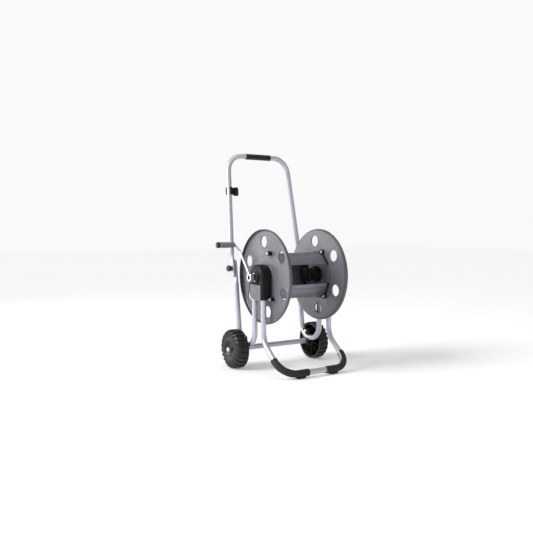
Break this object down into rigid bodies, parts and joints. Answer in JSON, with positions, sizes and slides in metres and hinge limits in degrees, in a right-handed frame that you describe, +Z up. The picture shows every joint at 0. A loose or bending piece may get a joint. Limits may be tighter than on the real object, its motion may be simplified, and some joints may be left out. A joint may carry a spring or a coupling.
{
  "type": "garden hose reel cart",
  "caption": "Wheeled tube-frame cart carrying a crank-turned hose drum between flanges, with a fold-forward push handle, hose clip, swivel water inlet and plastic feet.",
  "frame": {"origin": "on the ground under the middle of the whole cart's box", "axes": "+Z up, +Y to the rear (wheels and push handle), -Y to the front (foot loop), -X to the crank, +X to the water inlet; the drum and the axle turn about X"},
  "size_m": [0.5304, 0.4738, 0.8998],
  "materials": {
    "frame_paint": "silver paint on steel tube, semi-gloss",
    "grip_band": "black, satin",
    "hose_clip": "black, satin",
    "casing_black": "near black, satin",
    "cover_grey": "mid grey, satin, ribbed",
    "flange_grey": "mid grey, satin",
    "beam_metal": "extruded, satin",
    "socket_black": "black, satin",
    "bright_steel": "zinc plated, bright",
    "crank_steel": "bright plated",
    "crank_grey": "mid grey, semi-gloss",
    "grip_grey": "mid grey, satin, fine ribs",
    "water_black": "black, semi-gloss",
    "connector_grey": "dark grey, satin",
    "knob_dark": "dark grey, satin",
    "wheel_black": "black, satin sheen",
    "foot_black": "dark olive black, matt",
    "bush_steel": "dark, satin"
  },
  "bodies": {
    "frame": {"left_side_frame": "frame_paint", "right_side_frame": "frame_paint", "front_leg_loop": "frame_paint", "left_foot_sleeve": "foot_black", "right_foot_sleeve": "foot_black", "axle_tube": "frame_paint", "axle_rod": "bright_steel", "left_axle_bracket": "casing_black", "right_axle_bracket": "casing_black", "left_bracket_bolt": "bright_steel", "right_bracket_bolt": "bright_steel", "left_axle_cap": "bright_steel", "right_axle_cap": "bright_steel", "left_bearing_casing": "casing_black", "right_bearing_casing": "casing_black", "left_clamp_cover": "cover_grey", "right_clamp_cover": "cover_grey", "left_bearing_bush": "bush_steel", "right_bearing_bush": "bush_steel", "left_bush_clip": "casing_black", "right_bush_clip": "casing_black", "left_pivot_bolt": "bright_steel", "right_pivot_bolt": "bright_steel"},
    "handle": {"handle_tube": "frame_paint", "handle_grip_band": "grip_band", "hose_clip": "hose_clip"},
    "left_knob": {"left_clamp_knob": "knob_dark"},
    "right_knob": {"right_clamp_knob": "knob_dark"},
    "left_road_wheel": {"left_wheel": "wheel_black"},
    "right_road_wheel": {"right_wheel": "wheel_black"},
    "reel": {"left_flange": "flange_grey", "right_flange": "flange_grey", "drum_beam_1": "beam_metal", "drum_beam_2": "beam_metal", "drum_beam_3": "beam_metal", "left_beam_socket_1": "socket_black", "left_beam_socket_2": "socket_black", "left_beam_socket_3": "socket_black", "right_beam_socket_1": "socket_black", "right_beam_socket_2": "socket_black", "right_beam_socket_3": "socket_black", "left_tie_screw_1": "bright_steel", "left_tie_screw_2": "bright_steel", "left_tie_screw_3": "bright_steel", "right_tie_screw_1": "bright_steel", "right_tie_screw_2": "bright_steel", "right_tie_screw_3": "bright_steel", "crank_spindle": "socket_black", "water_spindle": "water_black", "outlet_elbow": "water_black", "outlet_adapter": "connector_grey", "left_thrust_washer": "bright_steel", "right_thrust_washer": "bright_steel", "crank_hub": "crank_grey", "crank_arm": "crank_steel", "crank_screw": "bright_steel"},
    "crank_handgrip": {"crank_grip": "grip_grey", "grip_end_cap": "water_black"},
    "inlet": {"inlet_elbow": "water_black", "inlet_adapter": "connector_grey"}
  },
  "joints": [
    {"name": "reel_spin", "type": "hinge", "parent": "frame", "child": "reel", "pos_m": [0.02635, -0.04715, 0.383], "axis": [1, 0, 0], "continuous": true},
    {"name": "handle_fold", "type": "hinge", "parent": "frame", "child": "handle", "pos_m": [0.02635, 0.14285, 0.408], "axis": [1, 0, 0], "range_deg": [0, 68]},
    {"name": "left_knob_turn", "type": "hinge", "parent": "frame", "child": "left_knob", "pos_m": [-0.16065, 0.14285, 0.408], "axis": [1, 0, 0], "continuous": true},
    {"name": "right_knob_turn", "type": "hinge", "parent": "frame", "child": "right_knob", "pos_m": [0.21335, 0.14285, 0.408], "axis": [1, 0, 0], "continuous": true},
    {"name": "left_wheel_spin", "type": "hinge", "parent": "frame", "child": "left_road_wheel", "pos_m": [-0.17795, 0.07425, 0.0805], "axis": [1, 0, 0], "continuous": true},
    {"name": "right_wheel_spin", "type": "hinge", "parent": "frame", "child": "right_road_wheel", "pos_m": [0.23065, 0.07425, 0.0805], "axis": [1, 0, 0], "continuous": true},
    {"name": "crank_grip_spin", "type": "hinge", "parent": "reel", "child": "crank_handgrip", "pos_m": [-0.22035, 0.05891, 0.5094], "axis": [1, 0, 0], "continuous": true},
    {"name": "inlet_swivel", "type": "hinge", "parent": "frame", "child": "inlet", "pos_m": [0.22035, -0.04715, 0.383], "axis": [1, 0, 0], "continuous": true}
  ]
}
